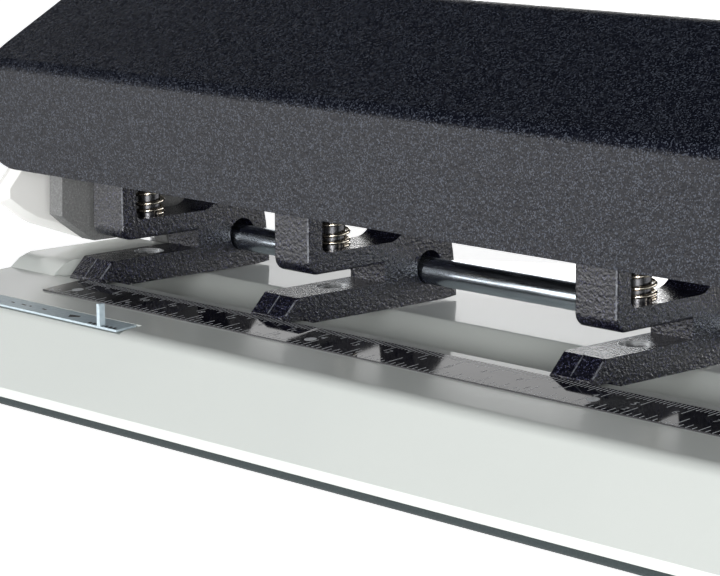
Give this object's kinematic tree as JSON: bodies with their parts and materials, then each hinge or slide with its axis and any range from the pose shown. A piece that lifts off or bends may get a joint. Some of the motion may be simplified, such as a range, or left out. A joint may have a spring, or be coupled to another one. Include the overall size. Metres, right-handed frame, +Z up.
{
  "type": "adjustable three hole punch",
  "caption": "Desktop paper punch with sliding heads on a guide rod, a wide press-down handle, a scaled paper ledge, a sliding side stop and a chip drawer.",
  "frame": {"origin": "centre of the whole part's box, on the surface that it stands on", "axes": "+X along the row of heads and the ruler, to the user's right; +Y from the user's side to the back; +Z up, away from the table"},
  "size_m": [0.3244, 0.146, 0.0892],
  "materials": {
    "base_paint": "glossy pale grey-green enamel on pressed steel",
    "plate_steel": "plain galvanised sheet",
    "mat_rubber": "matt dark green-black rubber",
    "ruler_black": "glossy black strip with white scale print",
    "guide_zinc": "bluish zinc-plated strip",
    "drawer_plastic": "fine-textured black plastic",
    "bracket_paint": "dark grey textured powder coat",
    "rod_chrome": "polished chrome-plated rod",
    "fastener_steel": "bright zinc-plated steel",
    "cover_paint": "black fine-textured powder coat with bright speckle",
    "arm_paint": "off-white enamel on steel plate",
    "bar_steel": "plain ground steel",
    "head_paint": "black speckled powder coat on a casting",
    "tool_steel": "bright ground tool steel",
    "spring_steel": "bright, slightly golden spring wire"
  },
  "bodies": {
    "base": {"base_shell": "base_paint", "base_plate": "plate_steel", "base_mat": "mat_rubber", "ruler_strip": "ruler_black", "end_bracket_left": "bracket_paint", "end_bracket_right": "bracket_paint", "bracket_screws": "fastener_steel", "guide_rod": "rod_chrome", "rod_clips": "fastener_steel", "hinge_pin_left": "fastener_steel", "hinge_pin_right": "fastener_steel", "hinge_spacer_left": "fastener_steel", "hinge_spacer_right": "fastener_steel"},
    "handle": {"handle_cover": "cover_paint", "handle_arm_left": "arm_paint", "handle_arm_right": "arm_paint", "pressure_bar": "bar_steel", "cover_screws": "fastener_steel"},
    "drawer": {"chip_drawer": "drawer_plastic"},
    "guide": {"paper_guide": "guide_zinc"},
    "head_1": {"head_casting_1": "head_paint", "die_bush_1": "tool_steel", "pin_spring_1": "spring_steel"},
    "punch_1": {"punch_pin_1": "tool_steel", "pin_clip_1": "spring_steel"},
    "head_2": {"head_casting_2": "head_paint", "die_bush_2": "tool_steel", "pin_spring_2": "spring_steel"},
    "punch_2": {"punch_pin_2": "tool_steel", "pin_clip_2": "spring_steel"},
    "head_3": {"head_casting_3": "head_paint", "die_bush_3": "tool_steel", "pin_spring_3": "spring_steel"},
    "punch_3": {"punch_pin_3": "tool_steel", "pin_clip_3": "spring_steel"}
  },
  "joints": [
    {"name": "handle_hinge", "type": "hinge", "parent": "base", "child": "handle", "pos_m": [0, 0.015, 0.037], "axis": [1, 0, 0], "range_deg": [0, 10.5], "stiffness_Nm_per_rad": 5, "springref_deg": -8.59},
    {"name": "drawer_slide", "type": "slide", "parent": "base", "child": "drawer", "axis": [1, 0, 0], "range_m": [0, 0.15]},
    {"name": "guide_slide", "type": "slide", "parent": "base", "child": "guide", "axis": [-1, 0, 0], "range_m": [0, 0.06]},
    {"name": "head_slide_1", "type": "slide", "parent": "base", "child": "head_1", "axis": [1, 0, 0], "range_m": [-0.004, 0.026]},
    {"name": "punch_slide_1", "type": "slide", "parent": "head_1", "child": "punch_1", "axis": [0, 0, -1], "range_m": [0, 0.0063], "deforming": ["pin_spring_1"]},
    {"name": "head_slide_2", "type": "slide", "parent": "base", "child": "head_2", "axis": [1, 0, 0], "range_m": [-0.026, 0.038]},
    {"name": "punch_slide_2", "type": "slide", "parent": "head_2", "child": "punch_2", "axis": [0, 0, -1], "range_m": [0, 0.0063], "deforming": ["pin_spring_2"]},
    {"name": "head_slide_3", "type": "slide", "parent": "base", "child": "head_3", "axis": [1, 0, 0], "range_m": [-0.038, 0.105]},
    {"name": "punch_slide_3", "type": "slide", "parent": "head_3", "child": "punch_3", "axis": [0, 0, -1], "range_m": [0, 0.0063], "deforming": ["pin_spring_3"]}
  ],
  "couplings": [
    {"joint": "punch_slide_1", "follows": "handle_hinge", "m_per_rad": 0.0338},
    {"joint": "punch_slide_2", "follows": "handle_hinge", "m_per_rad": 0.0338},
    {"joint": "punch_slide_3", "follows": "handle_hinge", "m_per_rad": 0.0338}
  ]
}
